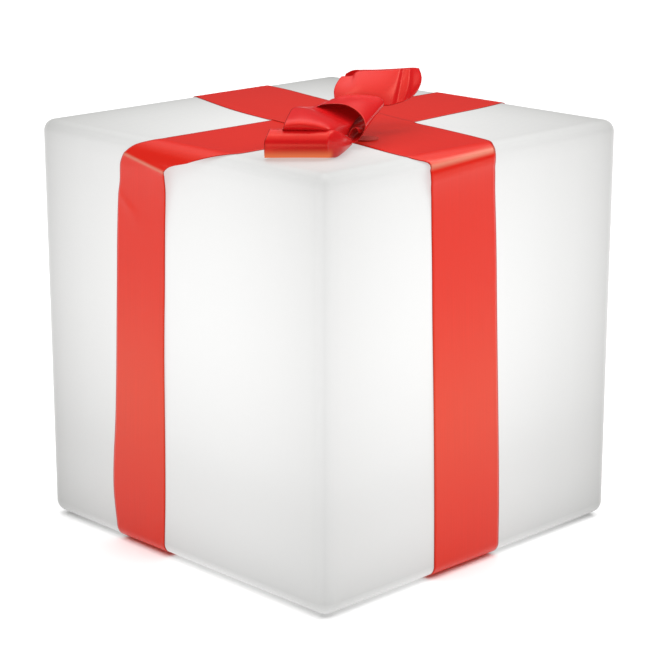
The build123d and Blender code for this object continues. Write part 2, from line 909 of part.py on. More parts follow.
def receiver_module():
    """The remote control's receiver on top of the control board."""
    width, depth, height = receiver_size
    low = board_bottom() + board_thickness
    x, y = receiver_place[0], controls_y + receiver_place[1]
    return block((x - width / 2, x + width / 2), (y - depth / 2, y + depth / 2), (low, low + height))


def lead(points, radius):
    """A wire along straight runs joined by arcs."""
    path = FilletPolyline(*points, radius=radius)
    start = Plane(origin=path @ 0, z_dir=path % 0)
    return sweep(start * Circle(lead_diameter / 2), path)


def led_leads():
    """Two wires from the control board up through the disc to the light board."""
    wires = []
    for side in (-1, 1):
        x = side * lead_gap / 2
        low = board_bottom() + board_thickness
        points = [
            (x, controls_y - lead_board_offset, low),
            (x, controls_y - lead_board_offset, low + led_lead_rise),
            (x, 0, low + led_lead_rise),
            (x, 0, led_board_top),
        ]
        wires.append(lead(points, led_lead_bend))
    return wires


def battery_leads():
    """Two wires from the battery's end to the control board."""
    wires = []
    for side in (-1, 1):
        y_cell = cell_rows()[1] - cell_pad_offset
        z = cell_height() + cell_pad_offset + side * lead_gap / 2
        low = board_bottom() + board_thickness
        x_board = -control_board_size[0] / 2 + battery_lead_end + side * lead_gap / 2
        x_out = -cell_length / 2 - battery_lead_out + side
        over = low + battery_lead_rise + side
        points = [
            (-cell_length / 2, y_cell, z),
            (x_out, y_cell, z),
            (x_out, y_cell + battery_lead_over, over),
            (x_board, controls_y - lead_board_offset, over),
            (x_board, controls_y - lead_board_offset, low),
        ]
        wires.append(lead(points, battery_lead_bend))
    return wires


def write(name, shape):
    """Writes one node, a single solid or a group of separate solids."""
    solids = shape if isinstance(shape, list) else [shape]
    solids = [solid for piece in solids for solid in piece.solids()]
    body = solids[0] if len(solids) == 1 else Compound(children=solids)
    export_step(body, "parts/" + name + ".step")


def build():
    """Makes every piece and writes it."""
    os.makedirs("parts", exist_ok=True)
    place = half - foot_inset
    nodes = {
        "cube_shell": cube_shell(),
        "side_band": side_band(),
        "front_band": front_band(),
        "ribbon_tapes": ribbon_tapes(),
        "bow_front_loop": bow_front_loop(),
        "bow_upper_loop": bow_upper_loop(),
        "bow_centre_band": bow_centre_band(),
        "bow_knot": bow_knot(),
        "bow_rear_loop": bow_rear_loop(),
        "bow_core": bow_core(),
        "bow_tie_wire": bow_tie(),
        "bow_pad": bow_pad(),
        "foot_front_left": foot(-place, -place),
        "foot_front_right": foot(place, -place),
        "foot_rear_left": foot(-place, place),
        "foot_rear_right": foot(place, place),
        "module_housing": module_housing(),
        "module_gasket": module_gasket(),
        "flange_screws": flange_screws(),
        "thread_inserts": thread_inserts(),
        "heat_spreader": heat_spreader(),
        "spreader_screws": spreader_screws(),
        "led_board": led_board(),
        "leds": leds(),
        "diffuser_dome": diffuser_dome(),
        "battery_tray": battery_tray(),
        "battery_cells": battery_cells(),
        "battery_strap": battery_strap(),
        "control_board": control_board(),
        "receiver_module": receiver_module(),
        "tact_switch": tact_switch(),
        "switch_plunger": switch_plunger(),
        "power_button": power_button(),
        "charge_socket": charge_socket(),
        "charge_flap": charge_flap(),
        "flap_pin": flap_pin(),
        "indicator_lens": indicator_lens(),
        "vent_plug": vent_plug(),
        "led_leads": led_leads(),
        "battery_leads": battery_leads(),
    }
    for name, shape in nodes.items():
        write(name, shape)


build()
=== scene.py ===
import math

import bpy
import numpy as np
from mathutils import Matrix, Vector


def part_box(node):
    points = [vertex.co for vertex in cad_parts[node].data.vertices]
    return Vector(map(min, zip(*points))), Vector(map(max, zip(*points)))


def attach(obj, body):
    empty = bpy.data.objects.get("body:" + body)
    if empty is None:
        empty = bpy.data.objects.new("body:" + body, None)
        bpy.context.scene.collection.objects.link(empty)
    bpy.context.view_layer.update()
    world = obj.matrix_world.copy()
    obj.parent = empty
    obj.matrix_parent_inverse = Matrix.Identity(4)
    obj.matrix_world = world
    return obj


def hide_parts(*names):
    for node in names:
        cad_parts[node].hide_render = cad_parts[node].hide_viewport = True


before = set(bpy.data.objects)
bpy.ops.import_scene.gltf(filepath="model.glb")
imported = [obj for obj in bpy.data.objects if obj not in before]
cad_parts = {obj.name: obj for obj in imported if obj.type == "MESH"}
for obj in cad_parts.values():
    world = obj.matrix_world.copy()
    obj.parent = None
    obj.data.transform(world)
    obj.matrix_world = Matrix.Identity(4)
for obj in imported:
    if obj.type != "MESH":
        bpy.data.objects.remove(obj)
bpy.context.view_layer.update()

# A lit gift box: a glowing moulded cube tied with two satin bands and a bow.
# Lengths are millimetres in the same frame as the cube, and metres(...) turns them to Blender's.

# The cube, read from the frame, and the radius of its rounded edges
cube_low, cube_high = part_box("cube_shell")
half = cube_high[0] * 1000
base = cube_low[2] * 1000
cube_top = cube_high[2] * 1000
edge_radius = 12.0

# The shell: how bright it glows, how much of that its rounded edges lose, and the bumps of its
# orange-peel skin to a metre, which are 4.5 mm apart
shell_glow = 0.69
edge_shade = 0.30
peel_to_a_metre = 220.0

# Satin: how far it lies off the cube, its thickness, and how far its tails run under the cube
ribbon_lift = 0.45
ribbon_thickness = 0.5
tail_length = 30.0
# Its weave: floats across the width, and floats to a metre along it
floats_across = 110.0
floats_to_a_metre = 9.0
# The front-to-back band steps up by this much over the other one, from and to these places along it,
# each step about four ramps long
crossing_lift = 0.8
crossing_from = -77.0
crossing_to = 33.0
crossing_ramp = 1.2

# The bow's own frame has x to the viewer's right and y away from the viewer
bow_centre = (-98.5, -128.5)
bow_turn = math.radians(-44.4)

# Camera, at the photograph's viewing angle
camera_place = (-1446.155, -1483.155, 770.548)
camera_azimuth = math.radians(-44.379)
camera_pitch = math.radians(15.602)
camera_focal = 116.39

# Light: the surround's brightness near the horizon and overhead, and the heights between which it
# changes, as the sine of the elevation
surround_level = 0.10
overhead_level = 2.25
overhead_from = 0.45
overhead_full = 0.90
# Soft lamps: name, place in metres, side in metres, watts
lamps = [
    ("top", (-0.1, -0.13, 2.6), 0.6, 4.0),
    ("right", (1.4, -1.63, 2.0), 0.8, 14.0),
    ("left", (-1.6, 1.37, 2.0), 0.6, 9.0),
    ("front", (-1.95, -2.0, 0.20), 0.35, 4.0),
    ("shoulder", (1.54, -0.75, 2.02), 0.5, 6.0),
]
lamp_target = (-0.1, -0.13, 0.42)


def metres(points):
    """Millimetres to metres."""
    return np.asarray(points, float) / 1000.0


def linear(code, factor=1.0):
    """An sRGB hex colour, lighter or darker by a factor, as linear red, green, blue and alpha."""
    parts = [int(code[i:i + 2], 16) / 255 for i in (1, 3, 5)]
    lights = [c / 12.92 if c <= 0.04045 else ((c + 0.055) / 1.055) ** 2.4 for c in parts]
    return [min(1.0, c * factor) for c in lights] + [1.0]


def smooth_through(stations, values, at):
    """A smooth curve through a few values: cubic Hermite, with each slope the mean of its neighbours'.

    A plain list of numbers is followed without overshoot: a slope is at most twice the smaller of
    its neighbours', and level where they differ in sign.
    """
    stations = np.asarray(stations, float)
    values = np.asarray(values, float)
    runs = np.diff(stations)
    rises = np.diff(values, axis=0) / (runs if values.ndim == 1 else runs[:, None])
    middle = (rises[1:] + rises[:-1]) / 2
    if values.ndim == 1:
        most = 2 * np.minimum(np.abs(rises[1:]), np.abs(rises[:-1]))
        held = np.sign(middle) * np.minimum(np.abs(middle), most)
        middle = np.where(rises[1:] * rises[:-1] > 0, held, 0.0)
    slopes = np.concatenate([rises[:1], middle, rises[-1:]])
    i = np.clip(np.searchsorted(stations, at) - 1, 0, len(runs) - 1)
    t = (np.clip(at, stations[0], stations[-1]) - stations[i]) / runs[i]
    h = runs[i]
    if values.ndim > 1:
        t, h = t[:, None], h[:, None]
    start = values[i] * (1 + 2 * t) * (1 - t) ** 2 + slopes[i] * h * t * (1 - t) ** 2
    end = values[i + 1] * t * t * (3 - 2 * t) + slopes[i + 1] * h * t * t * (t - 1)
    return start + end


def spline_net(net, rows, columns):
    """A smooth sheet over a small net of points: curves down the net's columns, then curves across them.

    Each way the points are joined by smooth_through at even stations, which gives a grid of rows by
    columns points.
    """
    net = np.asarray(net, float)
    down = np.linspace(0, net.shape[0] - 1, rows)
    over = np.linspace(0, net.shape[1] - 1, columns)
    tall = smooth_through(np.arange(net.shape[0]), net.reshape(net.shape[0], -1), down)
    tall = tall.reshape(rows, net.shape[1], 3).transpose(1, 0, 2).reshape(net.shape[1], -1)
    wide = smooth_through(np.arange(net.shape[1]), tall, over)
    return wide.reshape(columns, rows, 3).transpose(1, 0, 2)


def hump(x, middle, width):
    """A bell-shaped rise of height 1."""
    return np.exp(-((x - middle) / width) ** 2)


def lengths_along(grid):
    """Distance in millimetres along each column of a grid."""
    steps = np.linalg.norm(np.diff(grid, axis=0), axis=2)
    return np.concatenate([np.zeros((1, grid.shape[1])), np.cumsum(steps, axis=0)])


def lengths_across(grid):
    """Share of the width, 0 to 1, along each row of a grid."""
    steps = np.linalg.norm(np.diff(grid, axis=1), axis=2)
    run = np.concatenate([np.zeros((grid.shape[0], 1)), np.cumsum(steps, axis=1)], axis=1)
    return run / np.maximum(run[:, -1:], 1e-6)


def grid_piece(name, grid, material):
    """A smooth mesh over a grid of points in millimetres, and the corners of its four-sided faces."""
    rows, columns = grid.shape[:2]
    index = np.arange(rows * columns).reshape(rows, columns)
    faces = np.stack([index[:-1, :-1], index[:-1, 1:], index[1:, 1:], index[1:, :-1]], -1).reshape(-1, 4)
    mesh = bpy.data.meshes.new(name)
    mesh.from_pydata(metres(grid.reshape(-1, 3)).tolist(), [], faces.tolist())
    mesh.polygons.foreach_set("use_smooth", [True] * len(faces))
    mesh.materials.append(material)
    piece = bpy.data.objects.new(name, mesh)
    bpy.context.scene.collection.objects.link(piece)
    return piece, faces


def sheet_mesh(name, grid, material):
    """A satin sheet over a grid of points, with a UV map of the share across and the metres along."""
    piece, faces = grid_piece(name, grid, material)
    uv = np.stack([lengths_across(grid), lengths_along(grid) / 1000.0], -1).reshape(-1, 2)
    layer = piece.data.uv_layers.new(name="cloth")
    layer.data.foreach_set("uv", uv[faces.reshape(-1)].ravel().astype(np.float32))
    wall = piece.modifiers.new("thickness", "SOLIDIFY")
    wall.thickness = ribbon_thickness / 1000.0
    wall.offset = 0
    wall.use_even_offset = False
    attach(piece, "box")
    return piece


def on_bow(points):
    """Bow points to the cube's frame: turned about Z, then moved to the bow's place."""
    points = np.asarray(points, float)
    c, s = math.cos(bow_turn), math.sin(bow_turn)
    x = bow_centre[0] + c * points[..., 0] - s * points[..., 1]
    y = bow_centre[1] + s * points[..., 0] + c * points[..., 1]
    return np.stack([x, y, cube_top + points[..., 2]], -1)


def add(tree, kind, inputs=None, **settings):
    """Adds a shader node with its settings, and sets its inputs or joins them.

    An input, by its name or number, takes a value, another node's output, or a node, which stands
    for its first output.
    """
    node = tree.nodes.new(kind)
    for name, value in settings.items():
        setattr(node, name, value)
    for name, value in (inputs or {}).items():
        if isinstance(value, bpy.types.Node):
            value = value.outputs[0]
        if isinstance(value, bpy.types.NodeSocket):
            tree.links.new(value, node.inputs[name])
        else:
            node.inputs[name].default_value = value
    return node


# The numbers of a Mix node's two colours and of the colour that it gives
first_colour, second_colour, mixed_colour = 6, 7, 2


def blank_material(name):
    """A material with an empty node tree and its output."""
    material = bpy.data.materials.new(name)
    material.use_nodes = True
    tree = material.node_tree
    tree.nodes.clear()
    return material, tree, tree.nodes.new("ShaderNodeOutputMaterial")


# How the glow falls off: share of the way through the cube, level. The glow is painted on as emission,
# brighter towards the corner where both coordinates are lowest, with painted shade towards the far
# corner, and darker towards the ground.
glow_across = [
    (0.0, 0.78), (0.05, 0.87), (0.16, 0.94), (0.30, 1.0), (0.50, 1.0), (0.68, 0.92), (0.84, 0.79),
    (0.93, 0.70), (1.0, 0.46),
]
glow_upwards = [
    (0.0, 0.40), (0.05, 0.62), (0.14, 0.74), (0.23, 0.76), (0.33, 0.87), (0.46, 0.95), (0.61, 1.0),
    (0.80, 0.965), (0.94, 0.90), (1.0, 0.76),
]
# How much steeper the falls across are on the top than on the sides
top_steeper = 0.3

# How far the painted light through the satin turns to the lamp's colour at a height: most level with the
# lamp
through_satin = [(0.0, 0.15), (0.18, 0.45), (0.36, 1.0), (0.52, 0.62), (0.70, 0.12), (1.0, 0.0)]


def profile(tree, share, table):
    """A smooth run of levels over a share from 0 to 1, read from a short table."""
    ramp = add(tree, "ShaderNodeValToRGB", {"Fac": share})
    ramp.color_ramp.interpolation = "B_SPLINE"
    stops = ramp.color_ramp.elements
    for k, (position, level) in enumerate(table):
        stop = stops[k] if k < 2 else stops.new(position)
        stop.position = position
        stop.color = (level, level, level, 1)
    return ramp


def glow_of(tree):
    """How bright the lit cube is at a place: the product of a fall-off for each way its surface runs.

    Each fall-off is raised to a power that falls to 0 where the surface faces along its own axis, so
    the four sides glow alike, and the rounded edges, which face neither way, are a little darker.
    Underneath, where the surface faces down, the height makes no difference.
    """
    texture = add(tree, "ShaderNodeTexCoord").outputs
    place = add(tree, "ShaderNodeSeparateXYZ", {"Vector": texture["Object"]}).outputs
    normal = add(tree, "ShaderNodeSeparateXYZ", {"Vector": texture["Normal"]}).outputs
    facing = {axis: add(tree, "ShaderNodeMath", {0: normal[axis]}, operation="ABSOLUTE") for axis in "XYZ"}
    sideways = add(tree, "ShaderNodeMath", {0: facing["X"], 1: facing["Y"]}, operation="MAXIMUM")
    square_on = add(tree, "ShaderNodeMath", {0: sideways, 1: facing["Z"]}, operation="MAXIMUM")
    kept = 1 - edge_shade
    glow = add(tree, "ShaderNodeMath", {0: square_on, 1: edge_shade, 2: kept}, operation="MULTIPLY_ADD")
    steep = add(tree, "ShaderNodeMath", {0: facing["Z"], 1: top_steeper, 2: 1.0}, operation="MULTIPLY_ADD")
    for axis in "XY":
        off_middle = add(tree, "ShaderNodeMath", {0: place[axis], 1: 2 * half / 1000}, operation="DIVIDE")
        share = add(tree, "ShaderNodeMath", {0: off_middle, 1: 0.5}, operation="ADD")
        off_axis = add(tree, "ShaderNodeMath", {0: 1.0, 1: facing[axis]}, operation="SUBTRACT")
        power = add(tree, "ShaderNodeMath", {0: off_axis, 1: steep}, operation="MULTIPLY")
        level = profile(tree, share, glow_across)
        fall = add(tree, "ShaderNodeMath", {0: level, 1: power}, operation="POWER")
        glow = add(tree, "ShaderNodeMath", {0: glow, 1: fall}, operation="MULTIPLY")
    share = add(tree, "ShaderNodeMath", {0: place["Z"], 1: cube_top / 1000}, operation="DIVIDE")
    upwards = profile(tree, share, glow_upwards)
    missing = add(tree, "ShaderNodeMath", {0: 1.0, 1: upwards}, operation="SUBTRACT")
    below = add(tree, "ShaderNodeMath", {0: normal["Z"], 1: -1.0}, operation="MULTIPLY")
    down = add(tree, "ShaderNodeMath", {0: below, 1: 0.0}, operation="MAXIMUM")
    upright = add(tree, "ShaderNodeMath", {0: down, 1: missing, 2: upwards}, operation="MULTIPLY_ADD")
    return add(tree, "ShaderNodeMath", {0: glow, 1: upright}, operation="MULTIPLY"), texture["Object"]


def lit_polyethylene():
    """Rotomoulded polyethylene lit from inside: a soft milky glow painted on as emission, a faint
    orange-peel skin.
    """
    material, tree, out = blank_material("rotomoulded_polyethylene")
    glow, place = glow_of(tree)
    peel = add(tree, "ShaderNodeTexNoise", {"Vector": place, "Scale": peel_to_a_metre, "Detail": 3.0})
    skin = add(tree, "ShaderNodeMapRange", {"Value": peel, "To Min": 0.48, "To Max": 0.66})
    light = add(tree, "ShaderNodeMath", {0: glow, 1: shell_glow}, operation="MULTIPLY")
    shader = add(tree, "ShaderNodeBsdfPrincipled", {
        "Base Color": linear("#828280"), "Roughness": skin, "IOR": 1.51,
        "Emission Color": linear("#FFFFFF"), "Emission Strength": light,
    })
    tree.links.new(shader.outputs[0], out.inputs["Surface"])
    return material


# Each band's painted highlight along its fold under the cube's rim: the coordinate that its face looks
# along, the one that the fold runs along, its height in millimetres where that one is 0, its rise to
# a millimetre and its half width
side_fold_highlight = ("X", "Y", 383.0, 0.16, 3.0)
front_fold_highlight = ("Y", "X", 402.6, 0.054, 4.5)
# It is there only past this coordinate in metres, which leaves out the cube's other three faces
fold_highlight_face = -0.15
# How far the cloth's colour goes over to the painted highlight's colour on the fold's line
fold_highlight_strength = 0.75

# The selvages: the share of the width from the middle at which each starts to darken, and how fast
selvage_from = 0.488
selvage_slope = 110.0


def painted_fold_highlight(tree, place, fold):
    """How far a place is on a band's painted highlight: 1 on its line, 0 a half width off and elsewhere."""
    facing, along, height, rise, half_width = fold
    split = add(tree, "ShaderNodeSeparateXYZ", {"Vector": place}).outputs
    height = height / 1000
    line = add(tree, "ShaderNodeMath", {0: split[along], 1: rise, 2: height}, operation="MULTIPLY_ADD")
    above = add(tree, "ShaderNodeMath", {0: split["Z"], 1: line}, operation="SUBTRACT")
    off_line = add(tree, "ShaderNodeMath", {0: above}, operation="ABSOLUTE")
    near = add(tree, "ShaderNodeMapRange", {
        "Value": off_line, "From Min": half_width / 1000, "From Max": 0.0,
    }, interpolation_type="SMOOTHSTEP")
    on_face = add(tree, "ShaderNodeMath", {0: split[facing], 1: fold_highlight_face}, operation="LESS_THAN")
    return add(tree, "ShaderNodeMath", {0: near, 1: on_face}, operation="MULTIPLY")


def satin_colour(tree, uv, floats, place, colour, fold):
    """The cloth's colour: lighter float by float, a painted highlight on its fold, dark at the selvages."""
    cloth = add(tree, "ShaderNodeMix", {
        "Factor": floats, first_colour: linear(colour), second_colour: linear(colour, 1.22),
    }, data_type="RGBA").outputs[mixed_colour]
    if fold:
        # A pale painted highlight along the band's fold under the rim
        on_fold_highlight = painted_fold_highlight(tree, place, fold)
        pale = add(tree, "ShaderNodeMath", {0: on_fold_highlight, 1: fold_highlight_strength}, operation="MULTIPLY")
        cloth = add(tree, "ShaderNodeMix", {
            "Factor": pale, first_colour: cloth, second_colour: linear("#B67C66"),
        }, data_type="RGBA").outputs[mixed_colour]
    across = add(tree, "ShaderNodeSeparateXYZ", {"Vector": uv}).outputs["X"]
    from_middle = add(tree, "ShaderNodeMath", {0: across, 1: 0.5}, operation="SUBTRACT")
    off_middle = add(tree, "ShaderNodeMath", {0: from_middle}, operation="ABSOLUTE")
    past = add(tree, "ShaderNodeMath", {0: off_middle, 1: selvage_from}, operation="SUBTRACT")
    inside = add(tree, "ShaderNodeMath", {0: past, 1: 0.0}, operation="MAXIMUM")
    rise = add(tree, "ShaderNodeMath", {0: inside, 1: selvage_slope}, operation="MULTIPLY")
    selvage = add(tree, "ShaderNodeMath", {0: 1.0, 1: rise, 2: 0.1}, operation="SMOOTH_MIN")
    return add(tree, "ShaderNodeMix", {
        "Factor": selvage, first_colour: cloth, second_colour: linear("#8E1414"),
    }, data_type="RGBA").outputs[mixed_colour]


def lamp_through_cloth(tree, place, glow_colour, lamp_colour):
    """The colour of the light painted through the cloth: lamp_colour level with the lamp, else glow_colour.
    """
    height = add(tree, "ShaderNodeSeparateXYZ", {"Vector": place}).outputs["Z"]
    share = add(tree, "ShaderNodeMath", {0: height, 1: cube_top / 1000}, operation="DIVIDE")
    return add(tree, "ShaderNodeMix", {
        "Factor": profile(tree, share, through_satin),
        first_colour: linear(glow_colour), second_colour: linear(lamp_colour),
    }, data_type="RGBA").outputs[mixed_colour]


# Where the painted light on the roll's underside fades: heights over the cube's top in millimetres, and
# shares of the roll's width, from full to none
lit_height_full, lit_height_none = 2.5, 12.5
lit_width_full, lit_width_none = 0.54, 0.61


def lit_from_below(tree, surface, place, uv):
    """The roll's single layer near the glowing cube lets its light through, painted on as an orange
    emission.

    It shows over the roll's width only, up to a set height over the cube's top.
    """
    height = add(tree, "ShaderNodeSeparateXYZ", {"Vector": place}).outputs["Z"]
    across = add(tree, "ShaderNodeSeparateXYZ", {"Vector": uv}).outputs["X"]
    low = add(tree, "ShaderNodeMapRange", {
        "Value": height,
        "From Min": (cube_top + lit_height_none) / 1000, "From Max": (cube_top + lit_height_full) / 1000,
    }, interpolation_type="SMOOTHSTEP")
    wide = add(tree, "ShaderNodeMapRange", {
        "Value": across, "From Min": lit_width_none, "From Max": lit_width_full,
    }, interpolation_type="SMOOTHSTEP")
    lit = add(tree, "ShaderNodeMath", {0: low, 1: wide}, operation="MULTIPLY")
    glow = add(tree, "ShaderNodeEmission", {"Color": linear("#E8764A"), "Strength": 0.95})
    return add(tree, "ShaderNodeMixShader", {"Fac": lit, 1: surface, 2: glow})


def satin(name, colour, glow_colour, glow_level, lamp_colour=None, fold=None, lit_underside=False):
    """Woven polyester satin: long floats along the ribbon give a soft streaky sheen.

    The floats show as fine streaks about 110 mm long, 110 of them over the width, so 0.9 mm apart on
    the bands and closer on the narrower bow. The real ones, 0.1 mm apart, would be too fine to show.
    The cube's light through the cloth is painted on as emission, in glow_colour, and in lamp_colour
    level with the lamp. Given a fold, a painted highlight lies along the band's fold under the rim.
    """
    material, tree, out = blank_material(name)
    glow, place = glow_of(tree)
    uv = add(tree, "ShaderNodeUVMap", uv_map="cloth")
    stretch = add(tree, "ShaderNodeMapping", {
        "Vector": uv, "Scale": (floats_across, floats_to_a_metre, 1.0),
    })
    floats = add(tree, "ShaderNodeTexNoise", {"Vector": stretch, "Scale": 1.0, "Detail": 3.0})
    through = linear(glow_colour)
    if lamp_colour:
        through = lamp_through_cloth(tree, place, glow_colour, lamp_colour)
    shader = add(tree, "ShaderNodeBsdfPrincipled", {
        "Base Color": satin_colour(tree, uv, floats, place, colour, fold),
        "Normal": add(tree, "ShaderNodeBump", {"Height": floats, "Strength": 0.10, "Distance": 0.0003}),
        "Roughness": 0.28, "IOR": 1.5, "Specular IOR Level": 0.5, "Specular Tint": linear("#FF9878"),
        "Emission Color": through,
        "Emission Strength": add(tree, "ShaderNodeMath", {0: glow, 1: glow_level}, operation="MULTIPLY"),
    })
    surface = lit_from_below(tree, shader, place, uv) if lit_underside else shader
    tree.links.new(surface.outputs[0], out.inputs["Surface"])
    return material


def section_ends():
    """Where each leg of the cube's rounded cross-section starts and ends, along it from tail to tail.

    The legs are straight runs joined by quarter rounds: a tail under the cube, up one side, over the
    top, down the other side, and the other tail.
    """
    quarter = math.pi / 2 * edge_radius
    tail = tail_length - edge_radius
    upright = (cube_top - edge_radius) - (base + edge_radius)
    level = 2 * (half - edge_radius)
    runs = [tail, quarter, upright, quarter, level, quarter, upright, quarter, tail]
    return np.concatenate([[0], np.cumsum(runs)])


def wrap(along):
    """Places sideways and upwards on the section at distances along it, and its outward normals."""
    inner = half - edge_radius
    low, high = base + edge_radius, cube_top - edge_radius
    tail = tail_length - edge_radius
    ends = section_ends()
    u, z, nu, nz = np.zeros((4, len(along)))
    # Straight legs: where each starts, the way it runs and the way it faces
    flats = {
        0: ((-inner + tail, base), (-1, 0), (0, -1)),
        2: ((-half, low), (0, 1), (-1, 0)),
        4: ((-inner, cube_top), (1, 0), (0, 1)),
        6: ((half, high), (0, -1), (1, 0)),
        8: ((inner, base), (-1, 0), (0, -1)),
    }
    # Quarter rounds: each one's middle and the angle in degrees at which it starts
    rounds = {1: (-inner, low, -90), 3: (-inner, high, 180), 5: (inner, high, 90), 7: (inner, low, 0)}
    for leg in range(9):
        here = (along >= ends[leg]) & (along <= ends[leg + 1] + 1e-9)
        run = along[here] - ends[leg]
        if leg in flats:
            (u0, z0), (du, dz), (nu[here], nz[here]) = flats[leg]
            u[here] = u0 + du * run
            z[here] = z0 + dz * run
        else:
            cu, cz, first = rounds[leg]
            angle = np.radians(first) - run / edge_radius
            nu[here], nz[here] = np.cos(angle), np.sin(angle)
            u[here] = cu + edge_radius * np.cos(angle)
            z[here] = cz + edge_radius * np.sin(angle)
    return u, z, nu, nz


def band_grid(edges, puff):
    """A band wrapped round the cube, as places along the section, across it and upwards.

    edges are (distance past the rim, near edge, far edge), where the rim's distance is 0 at the start
    of the top and negative down the face. The place across runs evenly from the near to the far
    edge, and puff(distance, share) lifts the cloth off the cube.
    """
    ends = section_ends()
    rim = ends[4]
    flat_step = 9.0
    # Rows lie close at the turns and where the cloth stands off, and flat_step apart elsewhere
    along = np.concatenate([
        np.arange(0, ends[2] + 4, 1.5),
        np.arange(ends[2] + 4, rim - 75, flat_step),
        np.arange(rim - 75, rim + 45, 2.0),
        np.arange(rim + 45, ends[5] - 30, flat_step),
        np.arange(ends[5] - 30, ends[6] + 40, 2.5),
        np.arange(ends[6] + 40, ends[7] - 4, flat_step),
        np.arange(ends[7] - 4, ends[9], 1.5),
        [ends[9]],
    ])
    share = np.linspace(0, 1, 29)
    stations = [rim + e[0] for e in edges]
    near = smooth_through(stations, [e[1] for e in edges], along)
    far = smooth_through(stations, [e[2] for e in edges], along)
    u, z, nu, nz = wrap(along)
    lift = ribbon_lift + puff((along - rim)[:, None], share[None, :])
    place = near[:, None] + (far - near)[:, None] * share[None, :]
    return u[:, None] + nu[:, None] * lift, place, z[:, None] + nz[:, None] * lift


# How far the left-to-right band stands off the cube's left rim: distance past the rim, lift
left_turn_puff = [
    (-600, 0), (-150, 0), (-110, 0.4), (-80, 1.4), (-60, 2.6), (-45, 4.4), (-36, 5.8), (-30, 6.5),
    (-24, 6.4), (-19, 5.2), (-14, 3.2), (-9.4, 1.4), (-4, 0.4), (2, 0.1), (10, 0), (900, 0),
]

# The same for the other band, at its right selvage; its left one turns 6 mm lower
front_turn_puff = [
    (-600, 0), (-80, 0), (-60, 0.2), (-45, 0.8), (-34, 2.0), (-27, 3.4), (-22, 4.6), (-18, 4.7),
    (-14, 3.9), (-9.4, 2.3), (-4, 0.5), (0, 0), (900, 0),
]

# The distance past the rim at which a band turns down the far side, where it is a little loose
far_turn_place = 2 * (half - edge_radius) + 10


def side_puff(run, share):
    """The left-to-right band stands off where it turns down the left face, with a ridge and a crease.

    The ridge runs 31 to 21 mm below the rim, the crease slants from 108 to 62 mm below it, and
    further down the cloth hangs slack in slow waves.
    """
    stations, lifts = zip(*left_turn_puff)
    turn = smooth_through(stations, lifts, run.ravel())[:, None] * (1.1 - 0.42 * share)
    ridge = 0.9 * hump(run + 31 - 10 * share, 0, 2.6)
    crease = 0.54 * hump(run + 62 + 46 * (1 - share), 0, 5) * hump(share, 0.75, 0.28)
    slack = 0.5 * (1 + np.sin(run / 46 + 2.4 * share)) * hump(run, -200, 150)
    far_turn = 0.5 * hump(run, far_turn_place, 12)
    return turn + crease + slack + far_turn + ridge


def front_puff(run, share):
    """The front-to-back band stands off a little at its turns and hangs slack below.

    It crosses the other band with a step up and a step down, each a logistic curve over the place
    along the top.
    """
    lower = run + 6 * (1 - share)
    stations, lifts = zip(*front_turn_puff)
    turn = smooth_through(stations, lifts, lower.ravel()).reshape(lower.shape)
    far_turn = 0.5 * hump(run, far_turn_place, 12)
    slack = 0.4 * (1 + np.sin(run / 60 + 1.8 * share)) * hump(run, -210, 150)
    top_place = run - (half - edge_radius)
    up = 1 + np.exp(-np.clip((top_place - crossing_from) / crossing_ramp, -40, 40))
    down = 1 + np.exp(np.clip((top_place - crossing_to) / crossing_ramp, -40, 40))
    return turn + far_turn + slack + crossing_lift / up / down


# The bands' edges: distance past the rim, near or left edge, far or right edge
side_edges = [
    (-440, 20, 92), (-410, 22, 93), (-360, 19.6, 98), (-280, 17, 91), (-165, 13.6, 85), (-90, 10, 79.5),
    (-62, 6.5, 75.5), (-48.6, 4.2, 71.8), (-38.5, 3.2, 70), (-32, 2.2, 68.6), (-27.7, -1, 66.8),
    (-24, -8.5, 64.4), (-19.3, -26.5, 60), (-13.8, -47, 51), (-8, -62.5, 38.5), (-4, -69.8, 32.5),
    (0, -73.5, 29.5), (12, -75, 30.5), (188, -75, 31), (231, -72, 31.5), (293, -66.5, 32), (342, -63, 33),
    (376, -58, 33), (400, -53, 33), (430, -52, 33), (840, -52, 33),
]
front_edges = [
    (-440, -57, 34), (-360, -58, 33), (-260, -61, 29), (-165, -64, 24.5), (-80, -66.5, 20),
    (-45, -69, 17), (-34, -71.5, 15.5), (-24, -73.5, 13), (-19, -73.2, 12.8), (-16, -71, 13.4),
    (-13, -72.5, 15), (-9, -80.8, 17), (-5, -86.7, 20), (0, -88.5, 22.5), (18, -86.5, 27),
    (42, -82, 31.5), (76, -75.5, 37), (118, -70, 42.5), (188, -53, 57), (290, -34, 79.5),
    (376, -8, 94), (396, -2, 93), (430, 0, 92), (840, 0, 92),
]


def make_bands(side_material, front_material):
    """The two satin bands."""
    u, place, z = band_grid(side_edges, side_puff)
    side = sheet_mesh("side_band_satin", np.stack([u, place, z], -1), side_material)
    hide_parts("side_band")
    u, place, z = band_grid(front_edges, front_puff)
    front = sheet_mesh("front_band_satin", np.stack([place, u, z], -1)[:, ::-1], front_material)
    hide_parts("front_band")


